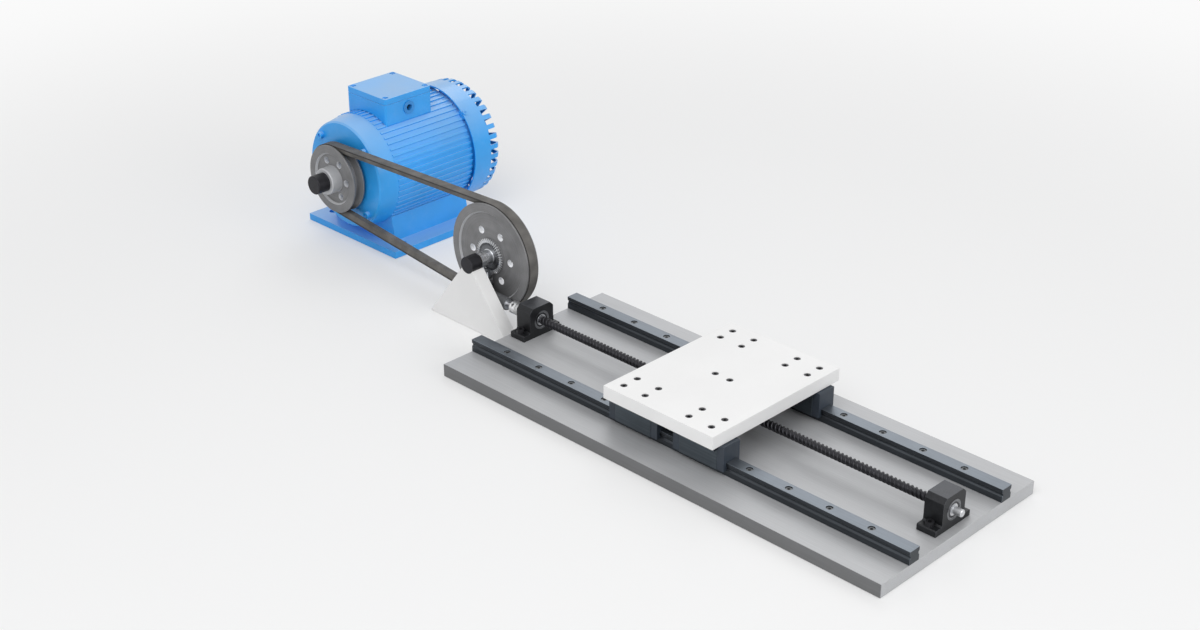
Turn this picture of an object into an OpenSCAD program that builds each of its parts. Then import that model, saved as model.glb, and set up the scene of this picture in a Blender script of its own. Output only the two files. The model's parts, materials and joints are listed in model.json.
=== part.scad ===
// Linear axis driven by a V-belt: a motor on feet turns a large pulley on a triangular stand, a
// bevel gear drop behind the stand turns the lead screw, and the screw moves a carriage on two rails.
// Millimetres, +X along the screw, +Y along the motor shaft towards its fan, +Z up.
// The origin lies on the mounting plane below the middle of the base plate.

/* [Base plate and rails] */
// Length of the base plate and of the rails
base_length = 600; // [560:10:900]
// Width of the base plate
base_width = 250; // [230:5:320]
// Thickness of the base plate
base_thick = 15; // [12:1:18]
// Distance between the two rails
rail_spacing = 150; // [140:2:160]
// Width of a rail
rail_width = 15; // [14:0.5:17]
// Height of a rail
rail_height = 15; // [14:0.5:16]
// Distance between the screws of a rail
rail_pitch = 50; // [40:5:60]
// Thread diameter of the tapped holes under the base plate
base_tap = 8; // [6:1:10]
// Distance of those holes from the ends of the plate
base_tap_end = 30; // [20:1:40]
// Distance of those holes from the sides of the plate
base_tap_side = 20; // [15:1:25]

/* [Screw and supports] */
// Diameter of the lead screw
screw_dia = 10; // [9:0.5:12]
// Diameter of its turned ends
journal_dia = 8; // [7:0.5:8]
// Height of the screw above the base plate
screw_height = 19; // [18:0.5:21]
// Thickness of a screw support
support_thick = 22; // [20:1:26]
// Width of a support's upright
support_width = 36; // [32:1:40]
// Width of a support's foot
support_foot = 56; // [54:1:64]
// Thickness of that foot
support_foot_thick = 7; // [6:0.5:9]
// Distance from the fixed support to the left end of the base plate
fixed_inset = 5; // [4:0.5:8]
// Distance from the floating support to the right end of the base plate
floating_inset = 10; // [6:1:20]

/* [Carriage] */
// Length of the carriage plate along the rails
plate_length = 150; // [150:2:170]
// Width of the carriage plate
plate_width = 200; // [190:2:230]
// Thickness of the carriage plate
plate_thick = 15; // [12:1:20]
// Gap between the top of a rail and the carriage plate
plate_gap = 20; // [19:0.5:24]
// Distance between two blocks of a rail
block_pitch = 90; // [80:1:94]
// Length of a block's steel body
block_length = 50; // [44:1:54]
// Length of a block's end cap
cap_length = 9; // [7:0.5:10]
// Width of a block
block_width = 25; // [24:0.5:30]
// Width of a block's flange under the plate
flange_width = 34; // [32:0.5:38]

/* [Stand, cross shaft and gears] */
// Width of the stand's base
stand_width = 134; // [124:2:150]
// Thickness of the stand
stand_thick = 18; // [14:1:22]
// Height of the cross shaft above the mounting plane
cross_height = 80; // [78:0.5:84]
// Diameter of the cross shaft
cross_dia = 10; // [8:0.5:11]
// Outer diameter of the black sleeve on the stand
sleeve_dia = 20; // [18:0.5:24]
// Teeth of the bevel gear on the cross shaft
gear_teeth = 40; // [40:4:40]
// Teeth of the upright pinion and of both mitre gears
pinion_teeth = 16; // [16:4:16]
// Module of the upper bevel pair
upper_module = 1; // [0.96:0.01:1]
// Module of the lower mitre pair
lower_module = 0.8; // [0.76:0.01:0.8]
// Diameter of the upright shaft and of the output shaft
upright_dia = 6; // [5:0.5:6]

/* [Belt drive] */
// Outer diameter of the motor pulley
motor_pulley_dia = 88; // [80:1:96]
// Outer diameter of the driven pulley
driven_pulley_dia = 128; // [124:1:132]
// Width of both pulleys
pulley_width = 17; // [16:0.5:20]
// Distance between the motor shaft and the cross shaft along the bed
pulley_distance = 291; // [270:1:360]
// Width of the belt's back
belt_width = 13; // [12:0.5:14]
// Height of the belt
belt_height = 8; // [7:0.5:8.5]
// How far the belt stands out of the pulley rims
belt_proud = 1; // [0.5:0.1:1.5]

/* [Motor] */
// Height of the motor shaft above the mounting plane
motor_height = 90; // [88:1:100]
// Diameter of the motor shaft end
motor_shaft_dia = 24; // [20:1:24]
// Length of the motor shaft end
shaft_end = 50; // [46:1:60]
// Radius over the cooling fins
fin_radius = 73; // [71:0.5:75]
// Number of cooling fins
fin_count = 56; // [40:1:64]
// Length of the finned frame
frame_length = 123; // [118:1:150]
// Width of the motor feet
foot_width = 173; // [164:1:190]
// Thickness of the motor feet
foot_thick = 9; // [7:0.5:12]
// Distance between the foot holes across the motor
foot_hole_x = 140; // [136:1:146]
// Distance between the foot holes along the motor
foot_hole_y = 100; // [90:1:120]
// Diameter of the foot holes
foot_hole_dia = 10; // [7:0.5:11]
// Width of the terminal box across the motor
box_width = 74; // [66:1:84]
// Length of the terminal box along the motor
box_length = 75; // [66:1:84]
// Height of the terminal box lid above the motor shaft
box_height = 98; // [94:1:110]
// Length of the fan cowl
cowl_length = 44; // [40:1:60]
// Number of slots around the fan cowl
slot_count = 36; // [24:1:40]

/* [Hidden] */
$fn = 64;
seat = 0.03;                 // radial clearance of seats inside one body
run = 0.04;                  // radial clearance of running fits
gap = 0.3;                   // gap between faces that slide or turn past each other

// Places along the bed
left_end = -base_length / 2;
right_end = base_length / 2;
fixed_x0 = left_end + fixed_inset;
fixed_x1 = fixed_x0 + support_thick;
floating_x1 = right_end - floating_inset;
floating_x0 = floating_x1 - support_thick;
carriage_x = (fixed_x1 + floating_x0) / 2;
rail_y = rail_spacing / 2;
screw_z = base_thick + screw_height;
rail_top = base_thick + rail_height;
plate_z = rail_top + plate_gap;
cross_x = left_end - stand_width / 2;
motor_x = cross_x - pulley_distance;

// Screw, supports and bearings
bearing_r = 11;
bearing_w = 7;
journal_r = journal_dia / 2;
lock_r = 7.5;
lock_w = 5;
support_rise = 18;
thread_r = [2, 2.5];         // rail and block screws, support screws
support_screw_y = (support_width + support_foot) / 4;

// Stand, gear drop
stand_back = -10;
stand_front = stand_back - stand_thick;
sleeve_r = sleeve_dia / 2;
cross_r = cross_dia / 2;
bush_r = cross_r + 2;
sleeve_back = stand_back - 2;
cap_wall = 2;
upright_r = upright_dia / 2;
small_bearing_r = 6.5;
small_bearing_w = 5;
upper_gear_r = gear_teeth * upper_module / 2;
upper_pinion_r = pinion_teeth * upper_module / 2;
mitre_r = pinion_teeth * lower_module / 2;
upper_face = 0.77;           // toe size over heel size
mitre_face = 0.71;
gear_hub_r = cross_r + 3.5;
gear_back_r = upper_gear_r * upper_pinion_r / (upper_pinion_r + upper_module) - 0.5;
pinion_z = cross_height - upper_gear_r;
housing_r = mitre_r + 2.6;
snout_r = small_bearing_r + 1;
cavity_r = mitre_r + 1.2;
upper_seat_top = pinion_z - 4.5;
lower_seat_z = screw_z + mitre_r + 2.6;
output_seat_x = cross_x + mitre_r + 2.6;
coupling_x1 = fixed_x0 - 2;
coupling_length = 23;
coupling_x0 = coupling_x1 - coupling_length;
coupling_r = 7.5;
snout_end = coupling_x0 - 9;
flange_half = 17;
flange_thick = 4;
housing_screw_x = 13;
housing_screw_z = [screw_z - 14, pinion_z - 7];

// Belt drive
pulley_y0 = 8;
belt_y = pulley_y0 + pulley_width / 2;
flank = tan(20);
flank_gap = 0.15;
groove_depth = belt_height - belt_proud + 2;
rim_wall = 3;
driven_r = driven_pulley_dia / 2;
small_r = motor_pulley_dia / 2;
driven_web = [2.5, 8.5];
small_web = [3, 10];
driven_boss_r = 20.5;
driven_hub_y1 = pulley_y0 + pulley_width + 1;
small_hub_r = motor_shaft_dia / 2 + 5;
small_hub_y = [-4, pulley_y0 + pulley_width - 1];
spin_holes = 6;
spin_hole_r = 4.5;

// Motor
shield_y0 = 29;
shield_depth = 27;
frame_y0 = shield_y0 + shield_depth;
frame_y1 = frame_y0 + frame_length;
shield_r = fin_radius - 1;
bore_r = 63;
wall_r = fin_radius - 3.5;
fin_thick = 3;
motor_bearing_r = 26;
motor_bearing_w = 15;
motor_journal_r = 12.5;
core_shaft_r = 16;
core_y = [frame_y0 + 24, frame_y1 - 29];
air_r = 37.5;
front_bearing_y = shield_y0 + 8;
rear_bearing_y = frame_y1 - 11;
cowl_y0 = frame_y1 + gap;
cowl_y1 = cowl_y0 + cowl_length;
cowl_r = fin_radius + 5;
cowl_wall = 2;
motor_mid = (frame_y0 + frame_y1) / 2 - 8.5;
box_mid = motor_mid - 2.5;
box_top = motor_height + box_height;
lid_height = 8;
box_wall = 3;
entry_r = 6.5;
entry_z = box_top - 19;
foot_y = [shield_y0 + 4, frame_y1 + 6];
foot_mid = (foot_y[0] + foot_y[1]) / 2;

// ---- helpers ----
module rod_x(r, x0, x1) translate([x0, 0, 0]) rotate([0, 90, 0]) cylinder(r = r, h = x1 - x0);
module rod_y(r, y0, y1) translate([0, y0, 0]) rotate([-90, 0, 0]) cylinder(r = r, h = y1 - y0);
module rod_z(r, z0, z1) translate([0, 0, z0]) cylinder(r = r, h = z1 - z0);
module span(x, y, z) translate([x[0], y[0], z[0]]) cube([x[1] - x[0], y[1] - y[0], z[1] - z[0]]);
// Turns a profile of [radius, place] about the Y axis, or about the X axis
module turn_y(points) rotate([-90, 0, 0]) rotate_extrude() polygon(points);
module turn_x(points) rotate([0, 90, 0]) rotate_extrude() polygon(points);
module at_cross() translate([cross_x, 0, cross_height]) children();
module at_drop() translate([cross_x, 0, 0]) children();
module at_screw() translate([0, 0, screw_z]) children();
module at_motor() translate([motor_x, 0, motor_height]) children();

// Socket head screw, its head on the plane z = 0 and its shank below
module cap_screw(r, grip, socket = 0.55) {
    difference() {
        cylinder(r = 1.75 * r, h = 2 * r);
        translate([0, 0, r]) cylinder(r = 1.75 * r * socket, h = 2 * r, $fn = 6);
    }
    translate([0, 0, -grip]) cylinder(r = r, h = grip);
}

// Ball bearing along Z from z = 0, with its shields set back between the rings
module bearing(outer, inner, w) {
    ring = (outer - inner) * 0.3;
    back = min(0.5, w * 0.1);
    rotate_extrude() polygon([[inner, 0], [inner + ring, 0], [inner + ring, back],
        [outer - ring, back], [outer - ring, 0], [outer, 0], [outer, w], [outer - ring, w],
        [outer - ring, w - back], [inner + ring, w - back], [inner + ring, w], [inner, w]]);
}

// ---- bevel gears ----
// A flank point at height h and half thickness t on the back cone, cast from the cone's tip onto
// the heel plane: r is the pitch radius and d the heel's distance from the tip
function heel(h, t, r, d) = let (a = atan(r / d), s = d / (d - h * sin(a)),
    radius = (r + h * cos(a)) * s) [radius, t * s / radius * 180 / PI];
function tooth(n, m, r, d) = let (half = PI * m / 4 - 0.1 * m, lean = tan(20) * m,
    foot = heel(-1.2 * m, half + 0.9 * lean, r, d), tip = heel(0.9 * m, half - 0.9 * lean, r, d))
    [[foot[0], -foot[1]], [tip[0], -tip[1]], [tip[0], tip[1]], [foot[0], foot[1]]];
function bevel_outline(n, m, d, turn) = [for (i = [0 : n - 1], p = tooth(n, m, n * m / 2, d))
    let (a = i * 360 / n + p[1] + turn) [p[0] * cos(a), p[0] * sin(a)]];
// Bevel teeth along Z, the heel at z = 0 and the tip of the cone at z = d
module bevel(n, m, d, face, turn) linear_extrude(height = d * (1 - face), scale = face)
    polygon(bevel_outline(n, m, d, turn));

// ---- bed ----
function rail_side(c) = [[rail_width / 2 + c, 0], [rail_width / 2 + c, 6.2 + c],
    [rail_width / 2 - 1.4 + c, 7.6 + c], [rail_width / 2 - 1.4 + c, 9.4 - c],
    [rail_width / 2 + c, 10.8 - c]];
function rail_outline(c, low, high) = concat([[rail_width / 2 + c, low]], rail_side(c),
    [[rail_width / 2 + c, high], [-rail_width / 2 - c, high]],
    [for (i = [4 : -1 : 0]) [-rail_side(c)[i][0], rail_side(c)[i][1]]],
    [[-rail_width / 2 - c, low]]);
rail_count = floor(base_length / rail_pitch) - 1;
rail_first = -(rail_count - 1) / 2 * rail_pitch;
module rail_places() for (i = [0 : rail_count - 1]) translate([rail_first + i * rail_pitch, 0, 0])
    children();
rail_head_deep = 2 * thread_r[0] + 1;
rail_grip = rail_height - rail_head_deep + 8;

module rail() color([0.24, 0.26, 0.29]) difference() {
    translate([left_end, 0, base_thick]) rotate([90, 0, 90]) linear_extrude(base_length)
        polygon(rail_outline(0, 0, rail_height));
    rail_places() {
        rod_z(1.75 * thread_r[0] + gap, rail_top - rail_head_deep, rail_top + 1);
        rod_z(thread_r[0] + gap, base_thick - 1, rail_top);
    }
}
module rail_front() translate([0, -rail_y, 0]) rail();
module rail_rear() translate([0, rail_y, 0]) rail();
module rail_screws() color([0.12, 0.12, 0.13]) for (side = [-1, 1]) translate([0, side * rail_y, 0])
    rail_places() translate([0, 0, rail_top - rail_head_deep]) cap_screw(thread_r[0], rail_grip);

support_places = [(fixed_x0 + fixed_x1) / 2, (floating_x0 + floating_x1) / 2];
module support_screw_places() for (x = support_places, side = [-1, 1])
    translate([x, side * support_screw_y, base_thick + support_foot_thick]) children();
support_grip = support_foot_thick + 9;

module base_plate() color([0.68, 0.69, 0.7]) difference() {
    span([left_end, right_end], [-base_width / 2, base_width / 2], [0, base_thick]);
    for (side = [-1, 1]) translate([0, side * rail_y, 0]) rail_places()
        rod_z(thread_r[0] + seat, rail_top - rail_head_deep - rail_grip - 1, base_thick + 1);
    support_screw_places() rod_z(thread_r[1] + seat, -support_grip - 1, 0);
    for (x = [-1, 1], y = [-1, 1])
        translate([x * (right_end - base_tap_end), y * (base_width / 2 - base_tap_side), 0])
            rod_z(base_tap * 0.425, -1, base_thick - 3);
}

module support_block() {
    h = screw_height + support_rise;
    w = support_width / 2;
    f = support_foot / 2;
    t = support_foot_thick;
    rotate([90, 0, 90]) linear_extrude(support_thick) polygon([[-f, 0], [f, 0], [f, t - 1],
        [f - 1, t], [w + 1.5, t], [w, t + 1.5], [w, h - 5], [w - 5, h], [5 - w, h], [-w, h - 5],
        [-w, t + 1.5], [-w - 1.5, t], [1 - f, t], [-f, t - 1]]);
}
module support(x0) color([0.07, 0.07, 0.08]) difference() {
    translate([x0, 0, base_thick]) support_block();
    at_screw() {
        rod_x(bearing_r - 2, x0 - 1, x0 + support_thick + 1);
        children();
    }
    support_screw_places() {
        rod_z(thread_r[1] + gap, -support_foot_thick - 1, 1);
        cylinder(r = 1.75 * thread_r[1] + gap, h = 2 * thread_r[1] + 1);
    }
}
module fixed_support() support(fixed_x0)
    rod_x(bearing_r + seat, fixed_x1 - 2 * bearing_w, fixed_x1 + 1);
module floating_support() support(floating_x0)
    rod_x(bearing_r + seat, floating_x1 - bearing_w, floating_x1 + 1);
module support_bearings() color([0.78, 0.79, 0.8]) at_screw()
    for (x = [fixed_x1 - 2 * bearing_w, fixed_x1 - bearing_w, floating_x1 - bearing_w])
        translate([x, 0, 0]) rotate([0, 90, 0]) bearing(bearing_r, journal_r + run, bearing_w);
module support_screws() color([0.12, 0.12, 0.13]) support_screw_places()
    cap_screw(thread_r[1], support_grip);

// ---- stand and gear drop ----
module stand_outline() {
    top = cross_height - sleeve_r / 2 + 1;
    apex = cross_height + 6;
    slope = (stand_width / 2) / apex;
    polygon([[-stand_width / 2, 0], [stand_width / 2, 0], [stand_width / 2 - 4 * slope, 4],
        [slope * (apex - top), top], [-slope * (apex - top), top], [4 * slope - stand_width / 2, 4]]);
}
stand_hole_x = stand_width / 2 - 22;
module bearing_stand() color([0.93, 0.93, 0.93]) difference() {
    translate([cross_x, stand_back, 0]) rotate([90, 0, 0]) linear_extrude(stand_thick)
        stand_outline();
    at_cross() rod_y(sleeve_r + seat, stand_front - 1, stand_back + 1);
    for (side = [-1, 1]) translate([cross_x + side * stand_hole_x,
        (stand_front + stand_back) / 2, 0]) rod_z(2.5, -1, 14);
    housing_screw_places() translate([0, 0, -flange_thick - 9]) cylinder(r = thread_r[0] + seat, h = 20);
}
module stand_sleeve() color([0.05, 0.05, 0.06]) at_cross() difference() {
    rod_y(sleeve_r, stand_front, sleeve_back);
    rod_y(bush_r + seat, stand_front + cap_wall, sleeve_back + 1);
}
module stand_bush() color([0.72, 0.5, 0.25]) at_cross() difference() {
    union() {
        rod_y(bush_r, stand_front + cap_wall, sleeve_back);
        rod_y(gear_hub_r, sleeve_back, sleeve_back + 1);
    }
    rod_y(cross_r + run, stand_front, stand_back);
}
module housing_screw_places() for (x = [-1, 1], z = housing_screw_z)
    translate([cross_x + x * housing_screw_x, stand_back + flange_thick, z]) rotate([-90, 0, 0])
        children();
module gear_housing() color([0.33, 0.34, 0.35]) difference() {
    union() {
        span([cross_x - flange_half, cross_x + flange_half], [stand_back, stand_back + flange_thick],
            [housing_screw_z[0] - 5, housing_screw_z[1] + 5]);
        at_drop() rod_z(housing_r, screw_z, upper_seat_top);
        at_screw() rod_x(housing_r, cross_x - housing_r, output_seat_x);
        at_screw() rod_x(snout_r, output_seat_x - 1, snout_end);
        span([cross_x, snout_end - 8], [stand_back, 0], [screw_z - 1.5, screw_z + 1.5]);
    }
    at_drop() rod_z(small_bearing_r + seat, lower_seat_z, upper_seat_top + 1);
    at_drop() rod_z(cavity_r, screw_z, lower_seat_z);
    at_screw() rod_x(cavity_r, cross_x - housing_r - 1, output_seat_x);
    at_screw() rod_x(small_bearing_r + seat, output_seat_x - 1, output_seat_x + small_bearing_w);
    at_screw() rod_x(small_bearing_r - 1.5, output_seat_x, snout_end);
    at_screw() rod_x(small_bearing_r + seat, snout_end - small_bearing_w, snout_end + 1);
    housing_screw_places() translate([0, 0, -flange_thick - 1])
        cylinder(r = thread_r[0] + gap, h = flange_thick + 2);
}
module gear_housing_cap() color([0.3, 0.31, 0.32]) at_screw() {
    difference() {
        rod_x(housing_r, cross_x - housing_r - 1.5, cross_x - housing_r);
        span([cross_x - 2 * housing_r, cross_x], [stand_back, stand_back + flange_thick],
            [-housing_r, housing_r]);
    }
    rod_x(cavity_r - seat, cross_x - housing_r, cross_x - housing_r + 1);
}
module housing_screws() color([0.12, 0.12, 0.13]) housing_screw_places()
    cap_screw(thread_r[0], flange_thick + 8);
module gearbox_bearings() color([0.78, 0.79, 0.8]) {
    at_drop() for (z = [lower_seat_z, upper_seat_top - small_bearing_w]) translate([0, 0, z])
        bearing(small_bearing_r, upright_r + run, small_bearing_w);
    at_screw() for (x = [output_seat_x, snout_end - small_bearing_w]) translate([x, 0, 0])
        rotate([0, 90, 0]) bearing(small_bearing_r, upright_r + run, small_bearing_w);
}
module upright_shaft() color([0.7, 0.71, 0.72]) at_drop()
    rod_z(upright_r, screw_z + mitre_r * mitre_face, cross_height - upper_gear_r * upper_face);
module upright_pinion() color([0.62, 0.63, 0.65]) at_drop() difference() {
    union() {
        translate([0, 0, pinion_z]) bevel(pinion_teeth, upper_module, upper_gear_r, upper_face, 0);
        rod_z(upper_pinion_r - 3, upper_seat_top + gap, pinion_z);
    }
    rod_z(upright_r + seat, 0, cross_height);
}
module upright_mitre_gear() color([0.62, 0.63, 0.65]) at_drop() difference() {
    union() {
        translate([0, 0, screw_z + mitre_r]) mirror([0, 0, 1])
            bevel(pinion_teeth, lower_module, mitre_r, mitre_face, 0);
        rod_z(mitre_r - 1.5, screw_z + mitre_r, lower_seat_z - gap);
    }
    rod_z(upright_r + seat, 0, cross_height);
}

// ---- cross shaft ----
cross_y0 = stand_front + cap_wall + 0.5;
cross_y1 = driven_hub_y1 - 0.5;
key_half = cross_r * 0.3;
module key_slot(grow) span([-key_half - grow, key_half + grow],
    [pulley_y0 + driven_web[0] + 1 - grow, driven_hub_y1 - 3 + grow],
    [cross_r * 0.6 - grow, cross_r * 1.3 + grow]);
module cross_shaft() color([0.75, 0.76, 0.77]) at_cross() difference() {
    rod_y(cross_r, cross_y0, cross_y1);
    key_slot(seat);
    rod_y(2 + seat, cross_y1 - 9, cross_y1 + 1);
}
module pulley_key() color([0.6, 0.6, 0.62]) at_cross() key_slot(0);
module pulley_retainer() color([0.16, 0.16, 0.17]) at_cross() {
    difference() {
        rod_y(2 * cross_r - 1, driven_hub_y1, driven_hub_y1 + 2);
        rod_y(2 + gap, driven_hub_y1 - 1, driven_hub_y1 + 3);
    }
    translate([0, driven_hub_y1 + 2, 0]) rotate([-90, 0, 0]) cap_screw(2, 10);
}
module bevel_gear() color([0.8, 0.81, 0.82]) at_cross() difference() {
    union() {
        intersection() {
            translate([0, upper_pinion_r, 0]) rotate([90, 0, 0])
                bevel(gear_teeth, upper_module, upper_pinion_r, upper_face, 180 / gear_teeth);
            rod_y(upper_gear_r + 1.5, 0, upper_pinion_r);
        }
        rod_y(gear_back_r, upper_pinion_r, pulley_y0 + driven_web[0]);
        rod_y(gear_hub_r, sleeve_back + 1 + gap, upper_pinion_r);
    }
    rod_y(cross_r + seat, stand_front, pulley_y0 + pulley_width);
    translate([0, -5, 0]) rod_z(1.5, 0, gear_hub_r + 1);
}

// ---- pulleys and belt ----
// The belt's half width at a depth below its back
function belt_half(depth) = belt_width / 2 - depth * flank;
function pulley_points(r, web, hub_r, hub_y, bore) = let (mid = pulley_width / 2,
    top = belt_half(belt_proud) + flank_gap, low = belt_half(belt_proud + groove_depth) + flank_gap,
    rim = r - groove_depth - rim_wall) [[bore, hub_y[0]], [hub_r - 1, hub_y[0]],
    [hub_r, hub_y[0] + 1], [hub_r, web[0]], [rim, web[0]], [rim + 1.5, 0], [r - 0.5, 0], [r, 0.5],
    [r, mid - top], [r - groove_depth, mid - low], [r - groove_depth, mid + low], [r, mid + top],
    [r, pulley_width - 0.5], [r - 0.5, pulley_width], [rim + 1.5, pulley_width], [rim, web[1]],
    [hub_r, web[1]], [hub_r, hub_y[1] - 1], [hub_r - 1, hub_y[1]], [bore, hub_y[1]]];
module spin_hole_ring(place) for (i = [0 : spin_holes - 1]) rotate([0, i * 360 / spin_holes, 0])
    translate([place, 0, 0]) rod_y(spin_hole_r, 0, pulley_width);
module driven_pulley() color([0.36, 0.36, 0.37]) at_cross() difference() {
    translate([0, pulley_y0, 0]) turn_y(pulley_points(driven_r, driven_web, driven_boss_r,
        [driven_web[0], driven_hub_y1 - pulley_y0], cross_r + seat));
    translate([0, pulley_y0, 0]) spin_hole_ring((driven_boss_r + driven_r - groove_depth) / 2 - 6);
    key_slot(seat);
}
motor_key_half = motor_shaft_dia / 6;
module motor_key_slot(grow) span([-motor_key_half - grow, motor_key_half + grow],
    [small_hub_y[0] + 2 - grow, small_hub_y[1] - 1 + grow],
    [motor_shaft_dia / 3 - grow, motor_shaft_dia * 0.625 + grow]);
module motor_pulley() color([0.36, 0.36, 0.37]) at_motor() difference() {
    translate([0, pulley_y0, 0]) turn_y(pulley_points(small_r, small_web, small_hub_r,
        [small_hub_y[0] - pulley_y0, small_hub_y[1] - pulley_y0], motor_shaft_dia / 2 + seat));
    translate([0, pulley_y0, 0]) spin_hole_ring((small_hub_r + small_r - groove_depth - rim_wall) / 2);
    motor_key_slot(seat);
}
module motor_key() color([0.6, 0.6, 0.62]) at_motor() motor_key_slot(0);

belt_run = [cross_x - motor_x, cross_height - motor_height];
belt_lean = atan2(belt_run[1], belt_run[0]);
belt_wrap = acos((small_r - driven_r) / norm(belt_run));
belt_strand = sqrt(pow(norm(belt_run), 2) - pow(driven_r - small_r, 2));
module belt_section(back) translate([back, 0]) polygon([[0, -belt_half(0)], [0, belt_half(0)],
    [-belt_height, belt_half(belt_height)], [-belt_height, -belt_half(belt_height)]]);
module belt_arc(from, sweep, back) rotate([0, 0, from]) rotate_extrude(angle = sweep)
    belt_section(back);
module drive_belt() color([0.2, 0.18, 0.16]) translate([0, belt_y, 0]) {
    translate([motor_x, 0, motor_height]) rotate([90, 0, 0]) {
        belt_arc(belt_lean + belt_wrap, 360 - 2 * belt_wrap, small_r + belt_proud);
        rotate([0, 0, belt_lean + belt_wrap]) rotate([90, 0, 0]) linear_extrude(belt_strand)
            belt_section(small_r + belt_proud);
        rotate([0, 0, belt_lean - belt_wrap]) rotate([90, 0, 0]) translate([0, 0, -belt_strand])
            linear_extrude(belt_strand) belt_section(small_r + belt_proud);
    }
    translate([cross_x, 0, cross_height]) rotate([90, 0, 0])
        belt_arc(belt_lean - belt_wrap, 2 * belt_wrap, driven_r + belt_proud);
}

// ---- motor ----
module frame_section() {
    difference() {
        union() {
            circle(r = wall_r, $fn = 128);
            for (i = [0 : fin_count - 1]) rotate((i + 0.5) * 360 / fin_count)
                translate([wall_r - 2, -fin_thick / 2]) square([fin_radius - wall_r + 2, fin_thick]);
            polygon([[-60, foot_thick - motor_height], [60, foot_thick - motor_height],
                [54, 40 - motor_height], [-54, 40 - motor_height]]);
        }
        circle(r = bore_r, $fn = 128);
        translate([-46, -motor_height]) square([92, motor_height - bore_r - 4]);
    }
}
module motor_frame() color([0.12, 0.5, 0.88]) difference() {
    union() {
        at_motor() translate([0, frame_y1, 0]) rotate([90, 0, 0]) linear_extrude(frame_length)
            frame_section();
        translate([motor_x, 0, 0]) span([-foot_width / 2, foot_width / 2], foot_y, [0, foot_thick]);
        for (y = [frame_y0, frame_y1 - 6]) translate([motor_x, 0, 0])
            span([-50, 50], [y, y + 6], [foot_thick - 1, motor_height - bore_r - 2]);
    }
    translate([motor_x, 0, 0]) span([-46, 46], [frame_y0 + 6, frame_y1 - 6], [-1, foot_thick + 1]);
    for (x = [-1, 1], y = [-1, 1]) translate([motor_x + x * foot_hole_x / 2,
        foot_mid + y * foot_hole_y / 2, 0]) rod_z(foot_hole_dia / 2, -1, foot_thick + 1);
}
shield_screw_r = bore_r + 0.5;
module shield_screw_places(y, side) for (i = [0 : 3]) rotate([0, 45 + i * 90, 0])
    translate([shield_screw_r - 4, y, 0]) rotate([-side * 90, 0, 0]) children();
module front_shield() color([0.1, 0.48, 0.88]) at_motor() difference() {
    translate([0, shield_y0, 0]) turn_y([[motor_shaft_dia / 2 + 1.5, -1.5],
        [motor_shaft_dia / 2 + 11, -1.5], [motor_shaft_dia / 2 + 12.5, 0], [shield_r - 5.5, 0],
        [shield_r - 3.5, 2], [shield_r, shield_depth - 2], [shield_r, shield_depth],
        [bore_r - seat, shield_depth], [bore_r - seat, shield_depth + 5],
        [bore_r - 5, shield_depth + 5], [bore_r - 5, 12], [bore_r - 8, 8],
        [motor_bearing_r + 8, 8], [motor_bearing_r + 7, 10], [motor_bearing_r + 7, 23],
        [motor_bearing_r + seat, 23], [motor_bearing_r + seat, 8], [22, 8], [22, 5],
        [motor_shaft_dia / 2 + 1.5, 5]]);
    shield_screw_places(shield_y0, -1) translate([0, 0, -9]) cylinder(r = 2.5 + seat, h = 20);
}
module rear_shield() color([0.1, 0.48, 0.88]) at_motor() difference() {
    union() {
        translate([0, frame_y1, 0]) turn_y([[motor_bearing_r + seat, -11.5],
            [motor_bearing_r + 7, -11.5], [motor_bearing_r + 7, -1], [motor_bearing_r + 9, 2],
            [bore_r - 8, 2], [bore_r - 5, -1], [bore_r - 5, -7], [bore_r - seat, -7],
            [bore_r - seat, 0], [wall_r + 1, 0], [wall_r + 1, 7], [16, 7], [16, 4.2],
            [motor_bearing_r + seat, 4.2]]);
        for (i = [0 : 3]) rotate([0, 45 + i * 90, 0]) span([wall_r - 1, cowl_r - cowl_wall - 2 * gap],
            [frame_y1 + gap, frame_y1 + 7], [-6, 6]);
    }
    shield_screw_places(frame_y1 + 7, 1) translate([0, 0, -9]) cylinder(r = 2.5 + seat, h = 20);
    cover_screw_places() translate([0, 0, -9]) cylinder(r = 2 + seat, h = 20);
}
module shield_screws() color([0.7, 0.71, 0.72]) at_motor() {
    shield_screw_places(shield_y0, -1) cap_screw(2.5, 8);
    shield_screw_places(frame_y1 + 7, 1) cap_screw(2.5, 8);
}
module cover_screw_places() for (i = [0 : 3]) rotate([0, 45 + i * 90, 0])
    translate([cowl_r, frame_y1 + 3.8, 0]) rotate([0, 90, 0]) children();
lid_screw = [box_width / 2 - 5.5, box_length / 2 - 5.5];
module lid_screw_places() for (x = [-1, 1], y = [-1, 1])
    translate([motor_x + x * lid_screw[0], box_mid + y * lid_screw[1], box_top - 3]) children();
module cover_screw(grip) {
    difference() {
        cylinder(r = 3.4, h = 2);
        for (a = [0, 90]) rotate(a) translate([-2.2, -0.5, 1]) cube([4.4, 1, 2]);
    }
    translate([0, 0, -grip]) cylinder(r = 2, h = grip);
}
module cover_screws() color([0.7, 0.71, 0.72]) {
    at_motor() cover_screw_places() cover_screw(8);
    lid_screw_places() cover_screw(12);
}
module wedge(inner, outer, half) polygon([[inner * cos(half), -inner * sin(half)],
    [outer * cos(half), -outer * sin(half)], [outer * cos(half), outer * sin(half)],
    [inner * cos(half), inner * sin(half)]]);
module slot_ring(inner, outer, from, depth) translate([0, from + depth, 0]) rotate([90, 0, 0])
    linear_extrude(depth) for (i = [0 : slot_count - 1]) rotate(i * 360 / slot_count)
        wedge(inner, outer, 97 / slot_count);
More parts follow.
